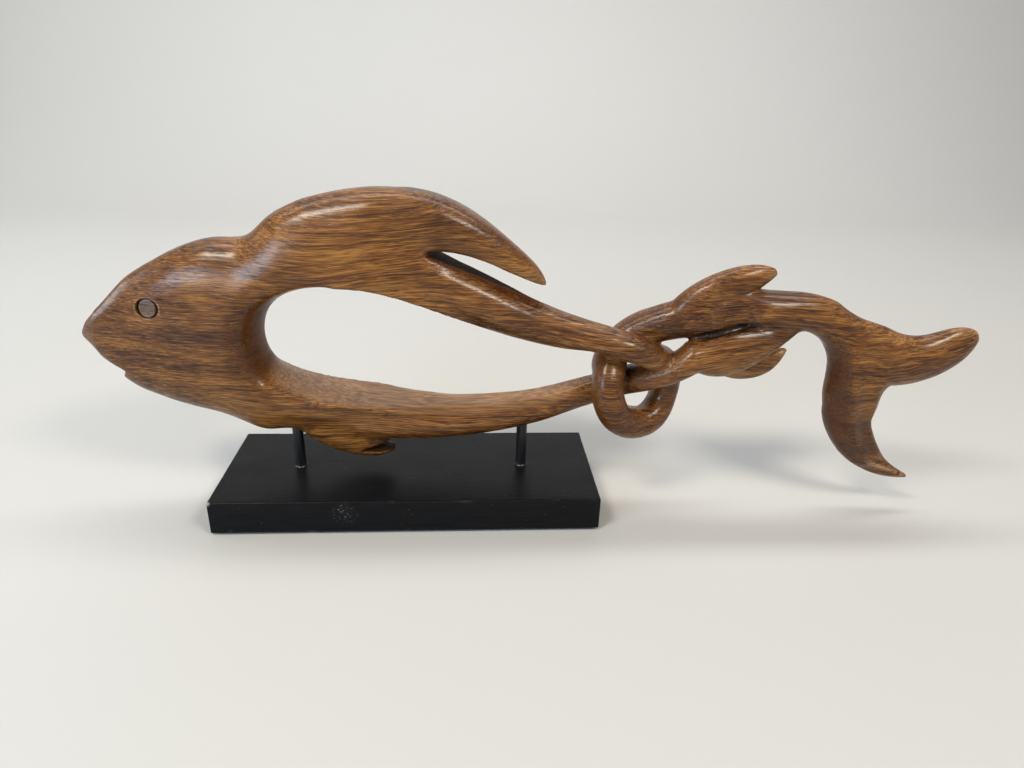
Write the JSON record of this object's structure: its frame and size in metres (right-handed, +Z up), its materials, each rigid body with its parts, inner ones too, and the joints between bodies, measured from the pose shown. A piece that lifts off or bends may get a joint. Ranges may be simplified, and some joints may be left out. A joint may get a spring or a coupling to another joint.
{
  "type": "fish figurine",
  "caption": "Carved wooden fish with a long open body, strands tied in a half hitch, fins and a forked tail, resting on slim posts above a black rectangular base.",
  "frame": {"origin": "middle of the underside of the felt sheet, where the base rests on the table", "axes": "+X from nose to tail, +Y to the fish's right side, +Z up"},
  "size_m": [0.4784, 0.08, 0.1782],
  "materials": {
    "varnished_wood": "glossy varnish over brown hardwood",
    "eye_wood": "glossy varnish",
    "black_painted_wood": "satin black paint",
    "black_rod": "satin black",
    "dark_felt": "matt felt"
  },
  "bodies": {
    "stand": {"base_block": "black_painted_wood", "felt_sheet": "dark_felt", "post_front": "black_rod", "post_rear": "black_rod"},
    "carving": {"fish_carving": "varnished_wood", "eye_left": "eye_wood", "eye_right": "eye_wood"}
  },
  "joints": [
    {"name": "carving_lift", "type": "slide", "parent": "stand", "child": "carving", "axis": [0, 0, 1], "range_m": [0, 0.012]}
  ]
}
